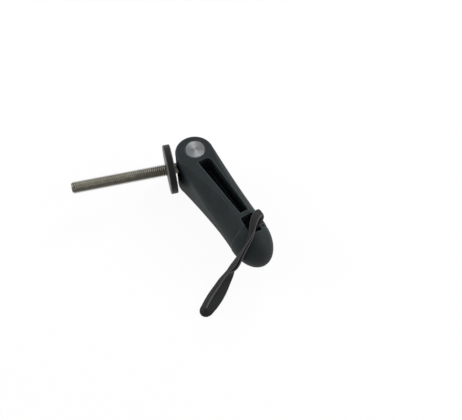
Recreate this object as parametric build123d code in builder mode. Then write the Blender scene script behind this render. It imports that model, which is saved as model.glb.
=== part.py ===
from build123d import *
import os
from math import asin, cos, radians, sin

# A cam lever for an M6 quick clamp. The lever turns on a cross-drilled barrel, the barrel holds
# the stud, and a thick washer rides on the stud. A flat rubber band is hitched to the thumb end.
# The part lies on one flank: the barrel's axis is Z, the stud points along -X, and the origin is
# on the barrel's axis, in the plane that the lever rests on. Millimetres throughout.

# Overall driving sizes
THICKNESS = 27.5  # lever, along the barrel
LEVER_ANGLE = 288.0  # lever's direction about Z, 108 degrees round from the stud
MID = THICKNESS / 2

# Eccentric cam head
CAM_RADIUS = 9.45
CAM_OFFSET_ALONG = 1.2  # cam centre from the barrel's axis, towards the thumb end
CAM_OFFSET_IN = 1.1  # and towards the clamped side
EDGE_CHAMFER = 0.6  # softened edge of the head, which the handle's rounded corners start from

# Handle: a bar of constant width whose corners grow into the egg-shaped thumb end
HANDLE_HALF_WIDTH = 9.6
HANDLE_SHIFT = 0.9  # centre line of the bar beyond its neck, to the outer side
CROWN_END = 3.1  # half width of the flat crown at the neck
NECK_STATION = 41.0  # where the crown is narrowest, along the lever
NECK_CROWN_SHIFT = 1.5  # the narrow crown leans to the outer side
NECK_CORNER_HEIGHT = 13.0  # height of the rounded corners at the neck
HANDLE_STATIONS = 9  # sections of the loft
BULB_STATION = 49.4  # centre of the thumb end
BULB_LENGTH = 15.5  # from its centre to the tip
BULB_SWELL = 0.3  # how far it stands out beyond each side of the bar
BULB_SECTIONS = 15

# Pocket moulded into each flank, leaving a web between them
POCKET_START = 7.2
POCKET_END = 42.2
POCKET_INNER = -2.7  # inner wall at the near end, across the lever
POCKET_OUTER = 3.9
POCKET_INNER_END = 0.3  # the same walls at the far end
POCKET_OUTER_END = 4.8
POCKET_DEPTH = 12.0
POCKET_NOSE_ROUND = 3.0
POCKET_CORNER_ROUND = 0.8
LEDGE_START = 13.5  # stiffening ledge along the pocket's inner wall
LEDGE_END = 25.5
LEDGE_WIDTH = 1.7
LEDGE_DROP = 5.0  # below the crown

# Window that the band is hitched through, and the seat it lies in round the outer rail
RIB_THICKNESS = 2.3  # between pocket and window
WINDOW_LENGTH = 9.6
WINDOW_INNER = -1.3
WINDOW_OUTER = 5.2
WINDOW_ROUND = 1.2
SEAT_DEPTH = 2.6  # below each flank
RAIL_THICKNESS = 3.6  # what the seat leaves of the outer rail at mid-height
RAIL_CROWN = 1.5  # and at the seat's floor

# Fork slot for the stud
STUD_RADIUS = 3.0  # M6, drawn to the crests
SLOT_CLEARANCE = 0.3
SLOT_WALL_GAP = 0.7  # from the stud to the walls where the slot ends
SLOT_CORNER_ROUND = 3.0

# Barrel
BARREL_RADIUS = 5.0
BARREL_FIT = 0.05
BARREL_CHAMFER = 0.3

# Stud
STUD_REACH = 63.0  # free end, from the barrel's axis
STUD_INSET = 4.2  # inner end, past the barrel's axis
STUD_NECK_RADIUS = 2.68  # plain neck between its two threads, at the thread's pitch radius
STUD_NECK_MARGIN = 0.5  # of the neck, clear of the barrel and of the washer's front
STUD_FIT = 0.02
STUD_CHAMFER = 0.9

# Washer
WASHER_RADIUS = 12.5
WASHER_THICKNESS = 3.6
WASHER_BORE_RADIUS = 3.25
WASHER_BACK = 11.5  # back face, from the barrel's axis
WASHER_CHAMFER = 0.35

# Rubber band
BAND_WIDTH = 4.0
BAND_GAUGE = 1.4
BAND_CLEARANCE = 0.2  # to the lever, and to the surface that the part lies on
BAND_SPLIT = 0.1  # between its two strands
TURN_WIDTH = 3.4  # of the taut turns round the rail, which are stretched thinner
TURN_GAUGE = 1.3
TURN_GAP = 0.2  # between the two turns
BIGHT_RADIUS = 1.6  # of the bar that crosses the strands at the rail's outer corner
BIGHT_LENGTH = 4.2
# Route of the paired strands over the thumb end: along the lever from the middle of the seat,
# angle round the thumb end from its crown to the inner side in degrees, and lift off it
BAND_LAP = (
    (-1.3, -42, 0.7),
    (-0.5, -31, 1.2),
    (0.9, -16, 0.7),
    (2.8, -4, 0.2),
    (5.0, 6, 0.1),
    (7.3, 20, 0.2),
    (8.9, 40, 0.3),
    (9.7, 65, 0.2),
    (9.8, 86, 0.6),
)
# Then as they fall clear of it, twisting on edge: along the lever from the middle of the seat,
# across it, and height
BAND_FALL = (
    (9.5, -10.9, 11.0),
    (9.1, -12.7, 8.0),
    (9.4, -15.2, 5.2),
    (10.6, -18.4, 3.2),
    (12.1, -21.8, 2.2),
)
BAND_SECTIONS = 21
LOOP_LENGTH = 17.2  # of the open loop beyond the paired strands
LOOP_HALF_WIDTH = 3.4
LOOP_HEADING = -61.5  # from the lever's own direction, in degrees

LEVER = Plane(
    origin=(0, 0, 0),
    x_dir=(cos(radians(LEVER_ANGLE)), sin(radians(LEVER_ANGLE)), 0),
    z_dir=(0, 0, 1),
)
LEVER_MID = LEVER.offset(MID)
STUD_AXIS = Plane(origin=(0, 0, MID), x_dir=(0, 1, 0), z_dir=(-1, 0, 0))
BULB_HALF_WIDTH = HANDLE_HALF_WIDTH + BULB_SWELL
WINDOW_START = POCKET_END + RIB_THICKNESS
SEAT_LENGTH = 2 * TURN_WIDTH + TURN_GAP + 2 * BAND_CLEARANCE
SEAT_MID = WINDOW_START + SEAT_LENGTH / 2
RAIL_OUTER = WINDOW_OUTER + RAIL_THICKNESS
NECK_START = BARREL_RADIUS + STUD_NECK_MARGIN
NECK_END = WASHER_BACK + WASHER_THICKNESS + STUD_NECK_MARGIN
PAIR_THICKNESS = 2 * BAND_GAUGE + BAND_SPLIT


def across_lever(station):
    """Plane square to the lever at a station, with x to the outer side and y up."""
    return Plane(
        origin=LEVER_MID.from_local_coords((station, 0, 0)),
        x_dir=LEVER.y_dir,
        z_dir=LEVER.x_dir,
    )


def flanks(station):
    """Inner and outer side of the bar at mid-height: it widens and leans outward to the neck."""
    share = min((station - CAM_OFFSET_ALONG) / (NECK_STATION - CAM_OFFSET_ALONG), 1.0)
    half = CAM_RADIUS + (HANDLE_HALF_WIDTH - CAM_RADIUS) * share
    shift = (HANDLE_SHIFT + CAM_OFFSET_IN) * share - CAM_OFFSET_IN
    return shift - half, shift + half


def narrowing(station):
    """Share by which the crown has narrowed at a station, quickly at first."""
    share = min((station - CAM_OFFSET_ALONG) / (NECK_STATION - CAM_OFFSET_ALONG), 1.0)
    return (share + 2 * sin(radians(90 * share))) / 3


def crown(station):
    """Edges of the flat crown at a station."""
    start = CAM_RADIUS - EDGE_CHAMFER
    half = start + (CROWN_END - start) * narrowing(station)
    shift = (NECK_CROWN_SHIFT + CAM_OFFSET_IN) * narrowing(station) - CAM_OFFSET_IN
    return shift - half, shift + half


def corner_arc(edge, side, top):
    """Arc from the crown's edge to the side, upright where it meets the side, as three points."""
    wide = abs(side - edge)
    tall = MID - top
    radius = (wide * wide + tall * tall) / (2 * wide)
    turn = asin(min(tall / radius, 1.0)) / 2
    way = 1 if side > edge else -1
    middle = side - way * radius * (1 - cos(turn))
    return (edge, MID), (middle, top + radius * sin(turn)), (side, top)


def pocket_wall(station, near, far):
    """Place across the lever, at a station, of a pocket wall that runs from near to far."""
    share = (station - POCKET_START) / (POCKET_END - POCKET_START)
    return near + (far - near) * share


def over_thumb_end(station, angle, lift):
    """Centre of the paired strands at an angle round the thumb end, as a point of LEVER."""
    station += SEAT_MID
    stand_off = BAND_CLEARANCE + PAIR_THICKNESS / 2 + lift
    swell = (1 - ((station - BULB_STATION) / BULB_LENGTH) ** 2) ** 0.5
    across = HANDLE_SHIFT - (BULB_HALF_WIDTH * swell + stand_off) * sin(radians(angle))
    height = MID + (MID * swell + stand_off) * cos(radians(angle))
    return station, across, height


# Section of the rail in the band's seat, and of the taut turns round it
with BuildSketch() as rail_section:
    rail_top = MID - SEAT_DEPTH
    rail_corner = WINDOW_OUTER + RAIL_CROWN
    with BuildLine():
        Polyline((rail_corner, -rail_top), (WINDOW_OUTER, -rail_top), (WINDOW_OUTER, rail_top))
        Line((WINDOW_OUTER, rail_top), (rail_corner, rail_top))
        ThreePointArc((rail_corner, rail_top), (RAIL_OUTER, 0), (rail_corner, -rail_top))
    make_face()
turn_inside = offset(rail_section.sketch, amount=BAND_CLEARANCE)
turn_outside = offset(rail_section.sketch, amount=BAND_CLEARANCE + TURN_GAUGE)

# Lever
with BuildPart() as lever:
    with BuildSketch(LEVER):
        with Locations((CAM_OFFSET_ALONG, -CAM_OFFSET_IN)):
            Circle(CAM_RADIUS)
    extrude(amount=THICKNESS)
    chamfer(lever.edges().filter_by(GeomType.CIRCLE), EDGE_CHAMFER)
    for index in range(HANDLE_STATIONS):
        station = CAM_OFFSET_ALONG
        station += (BULB_STATION - CAM_OFFSET_ALONG) * index / (HANDLE_STATIONS - 1)
        inner_edge, outer_edge = crown(station)
        inner_side, outer_side = flanks(station)
        top = MID - EDGE_CHAMFER - (NECK_CORNER_HEIGHT - EDGE_CHAMFER) * narrowing(station)
        with BuildSketch(across_lever(station)):
            with BuildLine():
                Line((inner_edge, MID), (outer_edge, MID))
                ThreePointArc(*corner_arc(outer_edge, outer_side, top))
                Line((outer_side, top), (outer_side, 0))
                ThreePointArc(*corner_arc(inner_edge, inner_side, top))
                Line((inner_side, top), (inner_side, 0))
                mirror(about=Plane.XZ)
            make_face()
    loft(ruled=True)
    # thumb end, from its widest section to the tip
    for index in range(BULB_SECTIONS):
        angle = radians(88 * index / (BULB_SECTIONS - 1))
        with BuildSketch(across_lever(BULB_STATION + BULB_LENGTH * sin(angle))):
            with Locations((HANDLE_SHIFT, 0)):
                Ellipse(BULB_HALF_WIDTH * cos(angle), MID * cos(angle))
    loft(ruled=True)
    # a pocket in each flank, with a ledge left along its inner wall
    for flank, direction in ((THICKNESS, 1), (0, -1)):
        with BuildSketch(LEVER.offset(flank - direction * POCKET_DEPTH)):
            with BuildLine():
                Polyline(
                    (POCKET_START, POCKET_INNER),
                    (POCKET_START, POCKET_OUTER),
                    (POCKET_END, POCKET_OUTER_END),
                    (POCKET_END, POCKET_INNER_END),
                    close=True,
                )
            make_face()
            ends = vertices().group_by(lambda corner: LEVER.to_local_coords(corner.center()).X)
            fillet(ends[0], POCKET_NOSE_ROUND)
            fillet(ends[-1], POCKET_CORNER_ROUND)
        extrude(amount=direction * POCKET_DEPTH, mode=Mode.SUBTRACT)
        ledge_near = pocket_wall(LEDGE_START, POCKET_INNER, POCKET_INNER_END)
        ledge_far = pocket_wall(LEDGE_END, POCKET_INNER, POCKET_INNER_END)
        with BuildSketch(LEVER.offset(flank - direction * POCKET_DEPTH)):
            with BuildLine():
                Polyline(
                    (LEDGE_START, ledge_near - LEDGE_WIDTH),
                    (LEDGE_START, ledge_near + LEDGE_WIDTH),
                    (LEDGE_END, ledge_far + LEDGE_WIDTH),
                    (LEDGE_END, ledge_far - LEDGE_WIDTH),
                    close=True,
                )
            make_face()
        extrude(amount=direction * (POCKET_DEPTH - LEDGE_DROP))
    # window right through, and the seat cut round the rail beside it
    with BuildSketch(LEVER):
        with Locations((WINDOW_START, WINDOW_INNER)):
            Rectangle(WINDOW_LENGTH, WINDOW_OUTER - WINDOW_INNER, align=(Align.MIN, Align.MIN))
        sides = vertices().group_by(lambda corner: LEVER.to_local_coords(corner.center()).Y)
        fillet(sides[0], WINDOW_ROUND)
    extrude(amount=THICKNESS, mode=Mode.SUBTRACT)
    with BuildSketch(across_lever(WINDOW_START)):
        with Locations((WINDOW_OUTER, 0)):
            Rectangle(2 * BULB_HALF_WIDTH, THICKNESS, align=(Align.MIN, Align.CENTER))
        add(rail_section.sketch, mode=Mode.SUBTRACT)
    extrude(amount=SEAT_LENGTH, mode=Mode.SUBTRACT)
    # fork slot, open over the quarter turn that the stud swings through
    slot_edge = STUD_RADIUS + SLOT_WALL_GAP
    with BuildSketch(LEVER.offset(MID - STUD_RADIUS - SLOT_CLEARANCE)):
        with Locations((slot_edge, slot_edge)):
            Rectangle(4 * CAM_RADIUS, 4 * CAM_RADIUS, align=(Align.MAX, Align.MAX))
        fillet(vertices().sort_by(Axis((0, 0, 0), LEVER.x_dir))[-1:], SLOT_CORNER_ROUND)
    extrude(amount=2 * (STUD_RADIUS + SLOT_CLEARANCE), mode=Mode.SUBTRACT)
    # bore for the barrel
    with BuildSketch(LEVER):
        Circle(BARREL_RADIUS + BARREL_FIT)
    extrude(amount=THICKNESS, mode=Mode.SUBTRACT)
lever.part.label = "lever"

# Barrel, cross-drilled for the stud
with BuildPart() as barrel:
    with BuildSketch(Plane.XY):
        Circle(BARREL_RADIUS)
    extrude(amount=THICKNESS)
    chamfer(barrel.edges().filter_by(GeomType.CIRCLE), BARREL_CHAMFER)
    with BuildSketch(STUD_AXIS):
        Circle(STUD_RADIUS + STUD_FIT)
    extrude(amount=2 * BARREL_RADIUS, both=True, mode=Mode.SUBTRACT)
barrel.part.label = "barrel"

# Stud
with BuildPart() as stud:
    with BuildSketch(STUD_AXIS.offset(-STUD_INSET)):
        Circle(STUD_RADIUS)
    extrude(amount=STUD_INSET + STUD_REACH)
    chamfer(stud.edges().filter_by(GeomType.CIRCLE), STUD_CHAMFER)
    with BuildSketch(STUD_AXIS.offset(NECK_START)):
        Circle(STUD_RADIUS)
        Circle(STUD_NECK_RADIUS, mode=Mode.SUBTRACT)
    extrude(amount=NECK_END - NECK_START, mode=Mode.SUBTRACT)
stud.part.label = "stud"

# Washer, loose on the stud
with BuildPart() as washer:
    with BuildSketch(STUD_AXIS.offset(WASHER_BACK)):
        Circle(WASHER_RADIUS)
        Circle(WASHER_BORE_RADIUS, mode=Mode.SUBTRACT)
    extrude(amount=WASHER_THICKNESS)
    chamfer(washer.edges().filter_by(GeomType.CIRCLE), WASHER_CHAMFER)
washer.part.label = "washer"

# Rubber band: two turns round the outer rail, the paired strands, and the open loop
lap = [LEVER.from_local_coords(over_thumb_end(*place)) for place in BAND_LAP]
fall = [LEVER.from_local_coords((SEAT_MID + along, *rest)) for along, *rest in BAND_FALL]
route = Spline(*lap, *fall)
pair_planes = []
pair_twists = []
normal = Vector(0, 0, 1)
for index in range(BAND_SECTIONS):
    centre = route.position_at(index / (BAND_SECTIONS - 1))
    heading = route.tangent_at(index / (BAND_SECTIONS - 1))
    on_flank = LEVER_MID.to_local_coords(centre) - Vector(BULB_STATION, HANDLE_SHIFT, 0)
    if on_flank.Z > 0:
        squared = (BULB_LENGTH**2, BULB_HALF_WIDTH**2, MID**2)
        slope = Vector(on_flank.X / squared[0], on_flank.Y / squared[1], on_flank.Z / squared[2])
        normal = LEVER.from_local_coords(slope)
    normal = (normal - heading * normal.dot(heading)).normalized()
    pair_planes.append(Plane(centre, x_dir=heading.cross(normal), z_dir=heading))
    fallen = (MID - centre.Z) / (MID - BAND_FALL[-1][2])
    pair_twists.append(90 * max(fallen, 0))
fall_end = BAND_FALL[-1]
loop_start = LEVER.from_local_coords((SEAT_MID + fall_end[0], fall_end[1], BAND_CLEARANCE))
LOOP = Plane(loop_start, x_dir=LEVER.x_dir, z_dir=(0, 0, 1)).rotated((0, 0, LOOP_HEADING))

with BuildPart() as rubber_band:
    for side in (-1, 1):
        turn = SEAT_MID + side * (TURN_WIDTH + TURN_GAP) / 2 - TURN_WIDTH / 2
        with BuildSketch(across_lever(turn)):
            add(turn_outside)
            add(turn_inside, mode=Mode.SUBTRACT)
        extrude(amount=TURN_WIDTH)
    with BuildSketch(across_lever(WINDOW_START + BAND_CLEARANCE)):
        with Locations((rail_corner + BIGHT_RADIUS, rail_top + BAND_CLEARANCE + TURN_GAUGE / 2)):
            Circle(BIGHT_RADIUS)
    extrude(amount=BIGHT_LENGTH)
    for plane, twist in zip(pair_planes, pair_twists):
        with BuildSketch(plane):
            Rectangle(BAND_WIDTH, PAIR_THICKNESS, rotation=twist)
    loft(ruled=True)
    for shrink, mode in ((0, Mode.ADD), (BAND_GAUGE, Mode.SUBTRACT)):
        with BuildSketch(LOOP):
            Circle(PAIR_THICKNESS / 2 - shrink)
            with Locations((LOOP_LENGTH - LOOP_HALF_WIDTH, 0)):
                Circle(LOOP_HALF_WIDTH - shrink)
            make_hull()
        extrude(amount=BAND_WIDTH, mode=mode)
rubber_band.part.label = "rubber_band"

os.makedirs("parts", exist_ok=True)
export_step(lever.part, "parts/lever.step")
export_step(barrel.part, "parts/barrel.step")
export_step(stud.part, "parts/stud.step")
export_step(washer.part, "parts/washer.step")
export_step(rubber_band.part, "parts/rubber_band.step")
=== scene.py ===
"""A cam lever for an M6 quick clamp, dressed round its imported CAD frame."""

import math

import bmesh
import bpy
from mathutils import Matrix, Vector


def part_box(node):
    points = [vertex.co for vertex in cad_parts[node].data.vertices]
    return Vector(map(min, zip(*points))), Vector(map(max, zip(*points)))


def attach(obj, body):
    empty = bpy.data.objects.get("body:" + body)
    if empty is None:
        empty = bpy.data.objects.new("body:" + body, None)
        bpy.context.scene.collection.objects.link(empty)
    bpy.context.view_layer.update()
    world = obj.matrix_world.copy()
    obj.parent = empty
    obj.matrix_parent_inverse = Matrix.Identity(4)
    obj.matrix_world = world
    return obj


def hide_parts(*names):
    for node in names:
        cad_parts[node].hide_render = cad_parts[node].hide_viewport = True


bl_info = {
    "name": "Cam lever",
    "version": (1, 0, 0),
    "blender": (4, 5, 0),
    "location": "View3D > Sidebar > Cam lever",
    "description": "Dresses a cam lever with its thread, rubber band, finishes and stage",
    "category": "Add Mesh",
}

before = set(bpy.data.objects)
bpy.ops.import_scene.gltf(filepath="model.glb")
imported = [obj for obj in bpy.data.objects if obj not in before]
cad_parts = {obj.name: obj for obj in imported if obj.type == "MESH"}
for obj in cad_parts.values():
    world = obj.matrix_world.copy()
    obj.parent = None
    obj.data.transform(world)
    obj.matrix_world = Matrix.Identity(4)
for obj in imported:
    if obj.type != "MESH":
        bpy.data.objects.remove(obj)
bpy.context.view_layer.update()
MM = 0.001

# The lever's own frame: x along the lever from the barrel, y to its outer side, z up
LEVER_BEARING = math.radians(288.0)
LEVER_TURN = Matrix.Rotation(LEVER_BEARING, 4, "Z")
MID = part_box("lever")[1].z / 2  # the lever's mid-height, where the stud's axis lies
STUD_RADIUS = (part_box("stud")[1].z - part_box("stud")[0].z) / 2
STUD_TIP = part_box("stud")[0].x
STUD_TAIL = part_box("stud")[1].x
WASHER_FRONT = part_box("washer")[0].x

# The band's relaxed section, which its route's widths and gauges are drawn for
BAND_WIDTH = 4.8 * MM
BAND_GAUGE = 1.4 * MM

# Sizes of the finishes' patterns
NYLON_GRAIN = 0.4 * MM
NYLON_CLOUD = 6 * MM
BARREL_RINGS = 0.4 * MM
BARREL_FILM = 2.5 * MM
STUD_OIL = 2.5 * MM
WASHER_CLOUD = 3 * MM
RUBBER_BLOOM = 3 * MM
RUBBER_GRAIN = 0.5 * MM

# Radii that handling has given the edges
NYLON_EDGE = 0.7 * MM
WASHER_EDGE = 0.4 * MM

# Cosines between a face and its rounded normal, where the paler edge colour starts and where it is
# full
PALE_EDGE_START = 0.985
PALE_EDGE_FULL = 0.9

# Shares of the band's half width, where its paler edge, partly dust and partly a painted
# highlight, starts and where it is full
DUST_AND_SHEEN_START = 0.78
DUST_AND_SHEEN_FULL = 0.98


def linear(code):
    """An sRGB hex colour as the linear values that a shader takes, opaque."""
    parts = [int(code[i : i + 2], 16) / 255 for i in (1, 3, 5)]
    return [p / 12.92 if p <= 0.04045 else ((p + 0.055) / 1.055) ** 2.4 for p in parts] + [1.0]


def add_node(tree, kind, links=None, **settings):
    """Add a node, set its properties or sockets by name, and link sockets by name or number."""
    node = tree.nodes.new(kind)
    for name, value in settings.items():
        if hasattr(node, name):
            setattr(node, name, value)
        else:
            node.inputs[name.replace("_", " ")].default_value = value
    for name, source in (links or {}).items():
        tree.links.new(source, node.inputs[name])
    return node


def new_material(name):
    """An empty node material and its tree."""
    material = bpy.data.materials.new(name)
    material.use_nodes = True
    material.node_tree.nodes.clear()
    return material, material.node_tree


def mottled(tree, size, detail, dark, light):
    """Patches of one size in object coordinates, and the colour between two that they give."""
    place = add_node(tree, "ShaderNodeTexCoord").outputs["Object"]
    patches = add_node(
        tree, "ShaderNodeTexNoise", {"Vector": place}, Scale=1 / size, Detail=detail
    ).outputs["Fac"]
    shade = add_node(
        tree, "ShaderNodeMix", {"Factor": patches}, data_type="RGBA", A=dark, B=light
    ).outputs["Result"]
    return place, patches, shade


def found_edges(tree, radius):
    """The normal over edges rounded to a radius, and a mask that is nought on a flat."""
    rounded = add_node(tree, "ShaderNodeBevel", samples=6, Radius=radius).outputs["Normal"]
    face = add_node(tree, "ShaderNodeNewGeometry").outputs["Normal"]
    turned = add_node(tree, "ShaderNodeVectorMath", {0: face, 1: rounded}, operation="DOT_PRODUCT")
    edge = add_node(
        tree, "ShaderNodeMapRange", {"Value": turned.outputs["Value"]},
        From_Min=PALE_EDGE_START, From_Max=PALE_EDGE_FULL,
    )
    return rounded, edge.outputs["Result"]


def moulded_nylon(look):
    """Glass-filled nylon from a spark-eroded mould: matt and near black, with an even grain.

    Its edges are a shade lighter: partly burnished by hands and pockets, partly a painted
    highlight along the rims.
    """
    material, tree = new_material("moulded_glass_filled_nylon")
    # the flow of the glass fibres leaves faint clouds of 6 mm
    place, _, shade = mottled(tree, NYLON_CLOUD, 3.0, look.nylon_dark, look.nylon_light)
    rounded, edge = found_edges(tree, NYLON_EDGE)
    # paler edges: partly burnished wear, partly a painted highlight along the rims
    pale_edged = add_node(
        tree, "ShaderNodeMix", {"Factor": edge, "A": shade}, data_type="RGBA", B=look.nylon_wear_and_highlight
    )
    # eroded grain is 0.1 mm across; it is drawn at 0.4 mm, as coarse as it needs to show
    grain = add_node(
        tree, "ShaderNodeTexNoise", {"Vector": place}, Scale=1 / NYLON_GRAIN, Detail=2.0
    ).outputs["Fac"]
    rough = add_node(tree, "ShaderNodeMapRange", {"Value": grain}, To_Min=0.48, To_Max=0.66)
    bump = add_node(
        tree, "ShaderNodeBump", {"Height": grain, "Normal": rounded},
        Strength=0.5, Distance=0.1 * MM,
    )
    shader = add_node(
        tree, "ShaderNodeBsdfPrincipled",
        {
            "Base Color": pale_edged.outputs["Result"],
            "Roughness": rough.outputs["Result"],
            "Normal": bump.outputs["Normal"],
        },
        IOR=1.53, Specular_IOR_Level=0.09,
    )
    add_node(tree, "ShaderNodeOutputMaterial", {"Surface": shader.outputs["BSDF"]})
    return material


def turned_steel(look):
    """Free-cutting steel faced in a lathe: fine rings that draw a highlight into two wedges."""
    material, tree = new_material("turned_steel")
    # a worn film, in patches of 2.5 mm, dulls the bright metal
    place, film, shade = mottled(tree, BARREL_FILM, 4.0, look.barrel_dark, look.barrel_light)
    rough = add_node(tree, "ShaderNodeMapRange", {"Value": film}, To_Min=0.28, To_Max=0.4)
    # tool marks of 0.08 mm feed, drawn 0.4 mm apart, as coarse as they need to show
    rings = add_node(
        tree, "ShaderNodeTexWave", {"Vector": place}, wave_type="RINGS", rings_direction="Z",
        Scale=math.pi / 10 / BARREL_RINGS, Distortion=0.6, Detail=1.0,
    )
    bump = add_node(
        tree, "ShaderNodeBump", {"Height": rings.outputs["Fac"]}, Strength=0.3, Distance=0.04 * MM
    )
    tangent = add_node(tree, "ShaderNodeTangent", direction_type="RADIAL", axis="Z")
    shader = add_node(
        tree, "ShaderNodeBsdfPrincipled",
        {
            "Base Color": shade,
            "Roughness": rough.outputs["Result"],
            "Normal": bump.outputs["Normal"],
            "Tangent": tangent.outputs["Tangent"],
        },
        Metallic=1.0, Anisotropic=0.8,
    )
    add_node(tree, "ShaderNodeOutputMaterial", {"Surface": shader.outputs["BSDF"]})
    return material


def rolled_steel(look):
    """Stainless steel with a rolled thread: smooth crests, duller and browner where oil dried."""
    material, tree = new_material("rolled_stainless_steel")
    # the oil lies in patches of 2.5 mm
    _, oil, shade = mottled(tree, STUD_OIL, 4.0, look.stud_dark, look.stud_light)
    rough = add_node(tree, "ShaderNodeMapRange", {"Value": oil}, To_Min=0.28, To_Max=0.42)
    shader = add_node(
        tree, "ShaderNodeBsdfPrincipled",
        {"Base Color": shade, "Roughness": rough.outputs["Result"]}, Metallic=1.0,
    )
    add_node(tree, "ShaderNodeOutputMaterial", {"Surface": shader.outputs["BSDF"]})
    return material


def blackened_steel(look):
    """Stamped, chemically blackened steel: a rough black punched edge and greyer, rubbed faces.

    Its rims are bare in places, where they have knocked against other parts. The greyer faces are
    partly a painted highlight, and the black rim partly painted shade.
    """
    material, tree = new_material("stamped_blackened_steel")
    coordinates = add_node(tree, "ShaderNodeTexCoord")
    # the bath leaves patches 3 mm across
    cloud = add_node(
        tree, "ShaderNodeTexNoise", {"Vector": coordinates.outputs["Object"]},
        Scale=1 / WASHER_CLOUD, Detail=5.0,
    ).outputs["Fac"]
    # the faces square to the stud are the greyer ones: partly their rubbed finish, partly a
    # painted highlight, with painted shade on the rim
    facing = add_node(tree, "ShaderNodeSeparateXYZ", {0: coordinates.outputs["Normal"]})
    flat = add_node(tree, "ShaderNodeMath", {0: facing.outputs["X"]}, operation="ABSOLUTE")
    patchy = add_node(tree, "ShaderNodeMapRange", {"Value": cloud}, To_Min=0.3, To_Max=1.0)
    face = add_node(
        tree, "ShaderNodeMath", {0: flat.outputs["Value"], 1: patchy.outputs["Result"]},
        operation="MULTIPLY",
    )
    shade = add_node(
        tree, "ShaderNodeMix", {"Factor": face.outputs["Value"]}, data_type="RGBA",
        A=look.washer_dark, B=look.washer_light,
    )
    rounded, edge = found_edges(tree, WASHER_EDGE)
    rubbed = add_node(tree, "ShaderNodeMath", {0: edge, 1: cloud}, operation="MULTIPLY")
    pale_edged = add_node(
        tree, "ShaderNodeMix", {"Factor": rubbed.outputs["Value"], "A": shade.outputs["Result"]},
        data_type="RGBA", B=look.washer_worn,
    )
    shader = add_node(
        tree, "ShaderNodeBsdfPrincipled",
        {"Base Color": pale_edged.outputs["Result"], "Normal": rounded},
        Roughness=0.45, Specular_IOR_Level=0.15,
    )
    add_node(tree, "ShaderNodeOutputMaterial", {"Surface": shader.outputs["BSDF"]})
    return material


def black_rubber(look):
    """Natural rubber strip, extruded and cut: dull black faces, with paler edges that are partly
    dust and partly a painted highlight.
    """
    material, tree = new_material("extruded_black_rubber")
    # blotches of bloom, 3 mm
    place, _, shade = mottled(tree, RUBBER_BLOOM, 4.0, look.rubber_dark, look.rubber_light)
    # the paler edges are partly dust and partly a painted highlight
    across = add_node(tree, "ShaderNodeAttribute", attribute_name="across")
    edge = add_node(
        tree, "ShaderNodeMapRange", {"Value": across.outputs["Fac"]},
        From_Min=DUST_AND_SHEEN_START, From_Max=DUST_AND_SHEEN_FULL,
    )
    dust_and_sheen = add_node(
        tree, "ShaderNodeMix", {"Factor": edge.outputs["Result"], "A": shade},
        data_type="RGBA", B=look.rubber_edge_dust_and_sheen,
    )
    # the die leaves a grain of 0.2 mm; it is drawn at 0.5 mm, as coarse as it needs to show
    grain = add_node(
        tree, "ShaderNodeTexNoise", {"Vector": place}, Scale=1 / RUBBER_GRAIN, Detail=2.0
    )
    bump = add_node(
        tree, "ShaderNodeBump", {"Height": grain.outputs["Fac"]}, Strength=0.3, Distance=0.05 * MM
    )
    shader = add_node(
        tree, "ShaderNodeBsdfPrincipled",
        {"Base Color": dust_and_sheen.outputs["Result"], "Normal": bump.outputs["Normal"]},
        IOR=1.52, Roughness=0.6, Specular_IOR_Level=0.12,
    )
    add_node(tree, "ShaderNodeOutputMaterial", {"Surface": shader.outputs["BSDF"]})
    return material


def dress(piece, material):
    """Give a piece its one material."""
    piece.data.materials.clear()
    piece.data.materials.append(material)


def new_piece(name, bm, material, body, crease=35):
    """Make an object of a bmesh, smooth but for creases in degrees, and hang it on its body."""
    for face in bm.faces:
        face.smooth = True
    for edge in bm.edges:
        edge.smooth = edge.calc_face_angle(0) < math.radians(crease)
    mesh = bpy.data.meshes.new(name)
    bm.to_mesh(mesh)
    bm.free()
    piece = bpy.data.objects.new(name, mesh)
    bpy.context.scene.collection.objects.link(piece)
    dress(piece, material)
    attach(piece, body)
    return piece


def colour_property(name, description, code):
    """A colour that a user may change, with its default as sRGB hex."""
    return bpy.props.FloatVectorProperty(
        name=name, description=description, subtype="COLOR", size=4, min=0.0, max=1.0,
        default=linear(code),
    )


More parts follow.
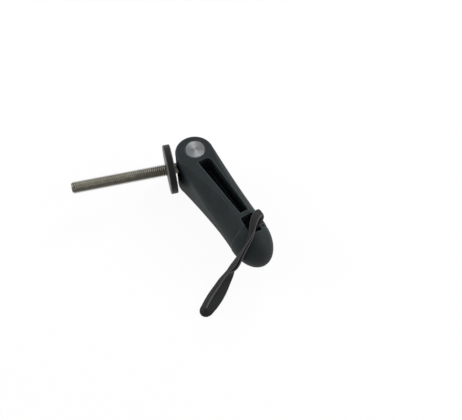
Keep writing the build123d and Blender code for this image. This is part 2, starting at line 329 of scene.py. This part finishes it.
class CamLeverLook(bpy.types.PropertyGroup):
    """Sizes and colours that a user would change."""

    thread_pitch: bpy.props.FloatProperty(
        name="Thread pitch", description="Pitch of the stud's thread",
        default=1.0 * MM, unit="LENGTH",
    )
    thread_depth: bpy.props.FloatProperty(
        name="Thread depth", description="Depth of the stud's thread, crest to root",
        default=0.61 * MM, unit="LENGTH",
    )
    band_width: bpy.props.FloatProperty(
        name="Band width", description="Width of the flat rubber band",
        default=BAND_WIDTH, unit="LENGTH",
    )
    band_gauge: bpy.props.FloatProperty(
        name="Band gauge", description="Thickness of the rubber band",
        default=BAND_GAUGE, unit="LENGTH",
    )
    nylon_dark: colour_property("Nylon, dark", "Darker shade of the lever", "#191e1f")
    nylon_light: colour_property("Nylon, light", "Lighter shade of the lever", "#262c2d")
    # the paler edge shade is partly wear and partly a painted highlight
    nylon_wear_and_highlight: colour_property("Nylon, worn", "Shade of the lever's burnished edges", "#485052")
    barrel_dark: colour_property("Barrel, dark", "Darker shade of the barrel's steel", "#686a6b")
    barrel_light: colour_property(
        "Barrel, light", "Lighter shade of the barrel's steel", "#787a7b"
    )
    stud_dark: colour_property("Stud, dark", "Darker shade of the stud", "#4c4a43")
    stud_light: colour_property("Stud, light", "Lighter shade of the stud", "#706e64")
    washer_dark: colour_property("Washer, dark", "Darker shade of the washer", "#121212")
    washer_light: colour_property("Washer, light", "Lighter shade of the washer", "#6c6c6a")
    washer_worn: colour_property("Washer, worn", "Shade of the washer's rubbed rims", "#8b8a86")
    rubber_dark: colour_property("Rubber, dark", "Darker shade of the band", "#141414")
    rubber_light: colour_property("Rubber, light", "Lighter shade of the band", "#212121")
    # the paler edge shade is partly dust and partly a painted highlight
    rubber_edge_dust_and_sheen: colour_property("Rubber, edges", "Paler shade of the band's edges", "#4a4a4b")


class CAMLEVER_OT_lever(bpy.types.Operator):
    """Finish the moulded lever"""

    bl_idname = "camlever.lever"
    bl_label = "Lever"

    def execute(self, context):
        dress(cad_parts["lever"], moulded_nylon(context.scene.cam_lever))
        return {"FINISHED"}


class CAMLEVER_OT_barrel(bpy.types.Operator):
    """Finish the turned barrel"""

    bl_idname = "camlever.barrel"
    bl_label = "Barrel"

    def execute(self, context):
        dress(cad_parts["barrel"], turned_steel(context.scene.cam_lever))
        return {"FINISHED"}


class CAMLEVER_OT_washer(bpy.types.Operator):
    """Finish the washer"""

    bl_idname = "camlever.washer"
    bl_label = "Washer"

    def execute(self, context):
        dress(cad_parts["washer"], blackened_steel(context.scene.cam_lever))
        return {"FINISHED"}


class CAMLEVER_OT_stud(bpy.types.Operator):
    """Build the stud with its rolled thread"""

    bl_idname = "camlever.stud"
    bl_label = "Stud"

    STEPS = 28  # facets to a turn
    # one pitch of the profile before it is wound: shares of the pitch, and root 0 or crest 1
    PROFILE = ((0.0, 0), (0.1, 0), (0.36, 1), (0.64, 1), (0.9, 0), (1.0, 0))
    WELD = 0.001 * MM  # points this near are one
    SNAP = WELD / 10  # and a cut passes through a point this near
    THREAD_GAP = 0.5 * MM  # from the thread's inner end to the washer's front
    LAP = 0.01 * MM  # of the neck into the thread's end
    NECK_RADIUS = 2.68 * MM
    NECK_INSET = 5.5 * MM  # inner end of the neck, from the barrel's axis
    NECK_FACETS = 48
    TIP_CHAMFER = 0.9 * MM
    TAIL_CHAMFER = 0.6 * MM

    def wind_thread(self, bm, start, look):
        """Wind the thread from its inner end to the tip, and close it at both."""
        axis = Vector((-1, 0, 0))
        turns = math.ceil((start - STUD_TIP) / look.thread_pitch) + 1
        radii = (STUD_RADIUS - look.thread_depth, STUD_RADIUS)
        chain = []
        for share, is_crest in self.PROFILE:
            x = start + look.thread_pitch * (1 - share)
            chain.append(bm.verts.new((x, 0, MID + radii[is_crest])))
        edges = [bm.edges.new(pair) for pair in zip(chain, chain[1:])]
        bmesh.ops.spin(
            bm, geom=chain + edges, cent=(0, 0, MID), axis=axis,
            dvec=axis * look.thread_pitch / self.STEPS,
            angle=2 * math.pi * turns, steps=self.STEPS * turns,
        )
        bmesh.ops.remove_doubles(bm, verts=bm.verts, dist=self.WELD)
        for place, side in ((start, 1), (STUD_TIP, -1)):
            cut = bmesh.ops.bisect_plane(
                bm, geom=bm.verts[:] + bm.edges[:] + bm.faces[:], plane_co=(place, 0, 0),
                plane_no=(side, 0, 0), clear_outer=True, dist=self.SNAP,
            )
            rim = [e for e in cut["geom_cut"] if isinstance(e, bmesh.types.BMEdge)]
            bmesh.ops.holes_fill(bm, edges=rim, sides=0)

    def chamfer_tip(self, bm):
        """Cut the last crests down to the tip's chamfer."""
        for vert in bm.verts:
            inside = vert.co.x - STUD_TIP
            most = STUD_RADIUS - max(self.TIP_CHAMFER - inside, 0)
            out = Vector((0, vert.co.y, vert.co.z - MID))
            if out.length > most:
                out *= most / out.length
                vert.co = (vert.co.x, out.y, MID + out.z)

    def add_shank(self, bm, start):
        """Add the neck, and the inner thread that the barrel hides, with its chamfer."""
        shoulder = STUD_TAIL - self.TAIL_CHAMFER
        for low, high, first, last in (
            (start - self.LAP, -self.NECK_INSET, self.NECK_RADIUS, self.NECK_RADIUS),
            (-self.NECK_INSET, shoulder, STUD_RADIUS, STUD_RADIUS),
            (shoulder, STUD_TAIL, STUD_RADIUS, STUD_RADIUS - self.TAIL_CHAMFER),
        ):
            middle = Matrix.Translation(((low + high) / 2, 0, MID))
            bmesh.ops.create_cone(
                bm, cap_ends=True, segments=self.NECK_FACETS, radius1=first, radius2=last,
                depth=high - low, matrix=middle @ Matrix.Rotation(math.pi / 2, 4, "Y"),
            )

    def execute(self, context):
        look = context.scene.cam_lever
        start = WASHER_FRONT - self.THREAD_GAP
        bm = bmesh.new()
        self.wind_thread(bm, start, look)
        self.chamfer_tip(bm)
        self.add_shank(bm, start)
        bmesh.ops.recalc_face_normals(bm, faces=bm.faces)
        piece = new_piece(
            "threaded_stud", bm, rolled_steel(look), "clamp", crease=75
        )
        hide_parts("stud")
        return {"FINISHED"}


# The band, in the lever's own frame, in millimetres
SEAT_MID = 48.2  # middle of the band's seat, along the lever
TURN_WIDTH = 3.4  # of the two taut turns round the rail
TURN_GAUGE = 1.3
RAIL_INNER = 5.2  # the window's outer wall
RAIL_OUTER = 8.8  # the rail's outer side at mid-height
RAIL_CORNER = 6.7  # and at the seat's floor
RAIL_TOP = 24.9
RAIL_FOOT = 2.6
RAIL_ROUND = 0.4  # how far the rail's corners are rounded under the band
CLEAR = 0.2  # between the band and what it lies on
# The two strands' route, from the rail over the thumb end and down to the open loop. Each row
# gives their middle, the direction that the upper strand faces, half of what their middles
# are apart, the width and gauge that the pull leaves them, and how far each strand's face
# leans up from that direction, in degrees
ROUTE = (
    ((46.6, 9.0, 21.0), (0.0, 1.0, 0.2), 0.3, 3.0, 1.0, 0, 0),
    ((46.4, 9.2, 24.2), (0.0, 1.0, 0.5), 0.4, 3.6, 1.0, 0, 0),
    ((46.5, 8.4, 26.9), (0.0, 0.7, 0.8), 0.5, 3.8, 1.0, 0, 0),
    ((47.3, 6.4, 28.5), (0.0, 0.2, 1.0), 0.5, 3.8, 1.0, 0, 0),
    ((48.9, 4.2, 29.0), (0.0, 0.0, 1.0), 0.5, 3.6, 1.0, 0, 0),
    ((51.0, 1.9, 29.0), (0.0, 0.0, 1.0), 0.5, 3.2, 1.0, 0, 0),
    ((53.2, 0.0, 28.7), (-0.1, -0.1, 1.0), 0.5, 2.8, 1.0, 0, 0),
    ((55.6, -2.5, 27.4), (-0.6, -0.4, 1.0), 0.5, 2.3, 0.9, 0, 0),
    ((57.2, -5.4, 24.6), (-0.9, -0.8, 0.7), 0.55, 2.3, 0.9, 0, 0),
    ((57.7, -8.2, 19.9), (-0.7, -1.0, 0.3), 0.65, 2.8, 1.0, 0, 0),
    ((57.6, -9.9, 15.2), (-0.5, -1.0, 0.0), 0.8, 3.2, 1.1, 0, 0),
    ((57.2, -11.1, 11.3), (-0.6, -1.0, 0.0), 0.85, 3.8, 1.2, 0, 0),
    ((56.9, -12.8, 8.0), (-0.7, -0.8, 0.0), 0.85, 4.4, 1.3, 14, 14),
    ((57.4, -15.2, 5.4), (-0.8, -0.6, 0.0), 0.85, 4.8, 1.3, 28, 34),
    ((58.6, -18.5, 3.6), (-0.88, -0.48, 0.0), 1.3, 4.8, 1.4, 36, 48),
    ((60.3, -21.7, 2.7), (-0.88, -0.48, 0.0), 1.6, 5.0, 1.4, 38, 56),
    ((62.2, -25.2, 2.5), (-0.88, -0.48, 0.0), 1.8, 5.2, 1.4, 38, 62),
    ((64.2, -28.8, 2.5), (-0.88, -0.48, 0.0), 1.75, 5.2, 1.4, 38, 62),
    ((66.1, -32.3, 2.4), (-0.88, -0.48, 0.0), 1.4, 5.0, 1.4, 40, 58),
)
LOOP_END = 2.2  # how far the loop's round end reaches on
UP = Vector((0, 0, 1))

# The strip's section: an oblong with rounded edges, by the powers its outline is raised to
SECTION_POINTS = 16
SECTION_SQUARE = 0.45
SECTION_FLAT = 0.8


def smooth_line(points, steps):
    """Points along a Catmull-Rom line through the given ones."""
    ends = [points[0] * 2 - points[1]] + list(points) + [points[-1] * 2 - points[-2]]
    line = []
    for a, b, c, d in zip(ends, ends[1:], ends[2:], ends[3:]):
        for i in range(steps):
            t = i / steps
            line.append(
                (b * 2 + (c - a) * t + (a * 2 - b * 5 + c * 4 - d) * t * t
                 + (b * 3 - a - c * 3 + d) * t**3) / 2
            )
    return line + [points[-1]]


def headings(line, closed=False):
    """The direction of travel at each point of a line."""
    count = len(line)
    found = []
    for i in range(count):
        before = line[(i - 1) % count] if closed or i else line[0]
        after = line[(i + 1) % count] if closed or i < count - 1 else line[-1]
        found.append((after - before).normalized())
    return found


def section_matrix(place, heading, face, width, gauge):
    """Where a unit section goes: x across the strip, y towards its face, at its real size."""
    face = (face - heading * face.dot(heading)).normalized()
    turn = Matrix((heading.cross(face), face, heading)).transposed().to_4x4()
    return Matrix.Translation(place) @ turn @ Matrix.Diagonal((width / 2, gauge / 2, 1, 1))


def sweep(bm, places, closed=False):
    """Draw a flat strip with rounded edges through a row of section matrices."""
    across = bm.verts.layers.float.get("across") or bm.verts.layers.float.new("across")
    section = []
    for i in range(SECTION_POINTS):
        angle = 2 * math.pi * (i + 0.5) / SECTION_POINTS
        x, y = math.cos(angle), math.sin(angle)
        corner = Vector((
            math.copysign(abs(x) ** SECTION_SQUARE, x), math.copysign(abs(y) ** SECTION_FLAT, y), 0
        ))
        vert = bm.verts.new(places[0] @ corner)
        vert[across] = abs(corner.x)
        section.append(vert)
    first = ring = [bm.edges.new(pair) for pair in zip(section, section[1:] + section[:1])]
    if not closed:
        bm.faces.new(section)
    for last, here in zip(places, places[1:]):
        grown = bmesh.ops.extrude_edge_only(bm, edges=ring)["geom"]
        ring = [g for g in grown if isinstance(g, bmesh.types.BMEdge) and len(g.link_faces) == 1]
        verts = list({v for e in ring for v in e.verts})
        bmesh.ops.transform(bm, matrix=here @ last.inverted(), verts=verts)
    if closed:
        bmesh.ops.bridge_loops(bm, edges=first + ring)
    else:
        bmesh.ops.edgeloop_fill(bm, edges=ring)


class CAMLEVER_OT_band(bpy.types.Operator):
    """Build the rubber band: its hitch on the rail, its two strands and its open loop"""

    bl_idname = "camlever.band"
    bl_label = "Rubber band"

    OUTER_STEPS = 14  # up the rail's bowed side
    INNER_STEPS = 8  # down the window's wall
    ROUTE_STEPS = 4  # to each row of the route
    BEND_STEPS = 9  # round the loop's end
    CORNER_SHARE = 0.7  # of the standoff that a corner keeps each way
    WALL_INSET = 0.2  # of the straight wall from the rail's top and foot

    def turn(self, station):
        """Section matrices of one turn round the rail."""
        off = CLEAR + TURN_GAUGE / 2
        corner = self.CORNER_SHARE * off
        mid = MID / MM
        # the way over the rail's top, as it is seen from its outer side; its foot mirrors it
        over = (
            (RAIL_CORNER + corner, corner), (RAIL_CORNER - RAIL_ROUND, off),
            (RAIL_INNER + RAIL_ROUND, off), (RAIL_INNER - corner, corner),
        )
        line = []
        for i in range(self.OUTER_STEPS + 1):
            z = RAIL_FOOT + (RAIL_TOP - RAIL_FOOT) * i / self.OUTER_STEPS
            bow = (RAIL_OUTER - RAIL_CORNER) * ((z - mid) / (RAIL_TOP - mid)) ** 2
            line.append(Vector((station, RAIL_OUTER - bow + off, z)))
        line += [Vector((station, y, RAIL_TOP + rise)) for y, rise in over]
        wall = RAIL_TOP - RAIL_FOOT - 2 * self.WALL_INSET
        for i in range(self.INNER_STEPS + 1):
            z = RAIL_TOP - self.WALL_INSET - wall * i / self.INNER_STEPS
            line.append(Vector((station, RAIL_INNER - off, z)))
        line += [Vector((station, y, RAIL_FOOT - rise)) for y, rise in reversed(over)]
        along = Vector((1, 0, 0))
        return [
            section_matrix(place, heading, along.cross(heading), TURN_WIDTH, TURN_GAUGE)
            for place, heading in zip(line, headings(line, closed=True))
        ]

    def strands(self, look):
        """Section matrices out along the upper strand, round the loop's end and back."""

        def leaning(outward, degrees):
            tilt = math.radians(degrees)
            return outward * math.cos(tilt) + UP * math.sin(tilt)

        rows = [Vector((*place, *face, *rest)) for place, face, *rest in ROUTE]
        rows = smooth_line(rows, self.ROUTE_STEPS)
        middles = [Vector(row[:3]) for row in rows]
        out, back = [], []
        for row, middle, way in zip(rows, middles, headings(middles)):
            face = Vector(row[3:6])
            face = (face - way * face.dot(way)).normalized()
            half, width, gauge, upper_lean, lower_lean = row[6:]
            width *= look.band_width / BAND_WIDTH
            gauge *= look.band_gauge / BAND_GAUGE
            for side, lean, line in ((1, upper_lean, out), (-1, lower_lean, back)):
                line.append((
                    middle + face * side * half, leaning(face * side, lean), width, gauge
                ))
        # from the last row on, round the loop's end in its own plane
        bend = []
        for i in range(1, self.BEND_STEPS):
            angle = math.pi * i / self.BEND_STEPS
            outward = face * math.cos(angle) + way * math.sin(angle)
            reach = face * half * math.cos(angle) + way * LOOP_END * math.sin(angle)
            lean = upper_lean + (lower_lean - upper_lean) * i / self.BEND_STEPS
            bend.append((middle + reach, leaning(outward, lean), width, gauge))
        path = out + bend + back[::-1]
        ways = headings([place for place, *rest in path])
        return [section_matrix(place, way, *rest) for (place, *rest), way in zip(path, ways)]

    def execute(self, context):
        look = context.scene.cam_lever
        bm = bmesh.new()
        for side in (-1, 1):
            sweep(bm, self.turn(SEAT_MID + side * (TURN_WIDTH + CLEAR) / 2), closed=True)
        sweep(bm, self.strands(look))
        bmesh.ops.recalc_face_normals(bm, faces=bm.faces)
        bmesh.ops.transform(bm, matrix=LEVER_TURN @ Matrix.Scale(MM, 4), verts=bm.verts)
        piece = new_piece("hitched_rubber_band", bm, black_rubber(look), "lever")
        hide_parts("rubber_band")
        return {"FINISHED"}


# The stage, in metres
FLOOR_HALF = 3.0
FLOOR_GLOW = 0.94  # share of plain white in the floor as it is seen; the rest keeps the shadow
ROOM_STRENGTH = 0.65
LAMP_AIM = Vector((0, -0.02, 0.01))
LAMPS = (  # name, place, size and power
    ("softbox_left", (-0.6, 0.2, 0.34), 0.38, 2.8),
    ("softbox_right", (0.6, -0.2, 0.34), 0.38, 2.6),
    ("softbox_back", (0.35, 0.45, 0.45), 0.25, 2.8),
)
CAMERA_PLACE = (-0.03176, -0.2175, 0.3541)
CAMERA_HEADING = (0.22325, 0.97476)  # over the floor
CAMERA_DROP = math.radians(60.5)  # how steeply it looks down
SENSOR_WIDTH = 36.0  # mm
LENS_TO_SENSOR = 800.0 / 462.0


class CAMLEVER_OT_stage(bpy.types.Operator):
    """Set the floor, the light and the camera"""

    bl_idname = "camlever.stage"
    bl_label = "Stage"

    def seen(self, tree):
        """One where the eye, a reflection or a view through glass meets the surroundings."""
        path = add_node(tree, "ShaderNodeLightPath")
        total = path.outputs["Is Camera Ray"]
        for ray in ("Is Glossy Ray", "Is Transmission Ray"):
            total = add_node(
                tree, "ShaderNodeMath", {0: total, 1: path.outputs[ray]}, operation="MAXIMUM"
            ).outputs["Value"]
        return total

    def lay_floor(self, scene):
        """Lay a white paper floor that all but vanishes into the background."""
        bm = bmesh.new()
        bmesh.ops.create_grid(bm, x_segments=1, y_segments=1, size=FLOOR_HALF)
        mesh = bpy.data.meshes.new("floor")
        bm.to_mesh(mesh)
        bm.free()
        floor = bpy.data.objects.new("floor", mesh)
        scene.collection.objects.link(floor)
        material, tree = new_material("white_paper_floor")
        paper = add_node(tree, "ShaderNodeBsdfDiffuse", Color=linear("#e6e6e6"))
        glow = add_node(tree, "ShaderNodeEmission", Color=linear("#ffffff"), Strength=1.0)
        share = add_node(tree, "ShaderNodeMath", {0: self.seen(tree)}, operation="MULTIPLY")
        share.inputs[1].default_value = FLOOR_GLOW
        mix = add_node(
            tree, "ShaderNodeMixShader",
            {
                "Fac": share.outputs["Value"],
                1: paper.outputs["BSDF"],
                2: glow.outputs["Emission"],
            },
        )
        add_node(tree, "ShaderNodeOutputMaterial", {"Surface": mix.outputs["Shader"]})
        dress(floor, material)

    def light_room(self, scene):
        """Light the room evenly, and show it as plain white."""
        world = bpy.data.worlds.new("studio")
        scene.world = world
        world.use_nodes = True
        tree = world.node_tree
        tree.nodes.clear()
        room = add_node(
            tree, "ShaderNodeBackground", Color=linear("#d9dde0"), Strength=ROOM_STRENGTH
        )
        white = add_node(tree, "ShaderNodeBackground", Color=linear("#ffffff"), Strength=1.0)
        mix = add_node(
            tree, "ShaderNodeMixShader",
            {
                "Fac": self.seen(tree),
                1: room.outputs["Background"],
                2: white.outputs["Background"],
            },
        )
        add_node(tree, "ShaderNodeOutputWorld", {"Surface": mix.outputs["Shader"]})

    def hang_lamps(self, scene):
        """Hang the softboxes and turn them to the lever."""
        for name, place, size, power in LAMPS:
            lamp = bpy.data.lights.new(name, "AREA")
            lamp.size = size
            lamp.energy = power
            softbox = bpy.data.objects.new(name, lamp)
            aim = LAMP_AIM - Vector(place)
            softbox.matrix_world = (
                Matrix.Translation(place) @ aim.to_track_quat("-Z", "Y").to_matrix().to_4x4()
            )
            scene.collection.objects.link(softbox)

    def place_camera(self, scene):
        """Place the camera above and in front of the lever."""
        camera = bpy.data.objects.new("camera", bpy.data.cameras.new("camera"))
        camera.data.sensor_fit = "HORIZONTAL"
        camera.data.sensor_width = SENSOR_WIDTH
        camera.data.lens = LENS_TO_SENSOR * SENSOR_WIDTH
        camera.data.clip_start = 0.01
        x, y = CAMERA_HEADING
        level = math.cos(CAMERA_DROP)
        right = Vector((y, -x, 0))
        ahead = Vector((x * level, y * level, -math.sin(CAMERA_DROP)))
        turn = Matrix((right, right.cross(ahead), -ahead)).transposed().to_4x4()
        camera.matrix_world = Matrix.Translation(CAMERA_PLACE) @ turn
        scene.collection.objects.link(camera)
        scene.camera = camera

    def execute(self, context):
        scene = context.scene
        self.lay_floor(scene)
        self.light_room(scene)
        self.hang_lamps(scene)
        self.place_camera(scene)
        scene.view_settings.view_transform = "Standard"
        return {"FINISHED"}


class CAMLEVER_PT_panel(bpy.types.Panel):
    """Cam lever tools"""

    bl_idname = "CAMLEVER_PT_panel"
    bl_label = "Cam lever"
    bl_space_type = "VIEW_3D"
    bl_region_type = "UI"
    bl_category = "Cam lever"

    def draw(self, context):
        for operator in OPERATORS:
            self.layout.operator(operator.bl_idname)
        for name in CamLeverLook.__annotations__:
            self.layout.prop(context.scene.cam_lever, name)


OPERATORS = (
    CAMLEVER_OT_stage,
    CAMLEVER_OT_lever,
    CAMLEVER_OT_barrel,
    CAMLEVER_OT_stud,
    CAMLEVER_OT_washer,
    CAMLEVER_OT_band,
)
CLASSES = (CamLeverLook,) + OPERATORS + (CAMLEVER_PT_panel,)


def register():
    for cls in CLASSES:
        bpy.utils.register_class(cls)
    bpy.types.Scene.cam_lever = bpy.props.PointerProperty(type=CamLeverLook)


def unregister():
    del bpy.types.Scene.cam_lever
    for cls in reversed(CLASSES):
        bpy.utils.unregister_class(cls)


def main():
    register()
    bpy.ops.camlever.stage()
    bpy.ops.camlever.lever()
    bpy.ops.camlever.barrel()
    bpy.ops.camlever.stud()
    bpy.ops.camlever.washer()
    bpy.ops.camlever.band()


if __name__ == "__main__":
    main()
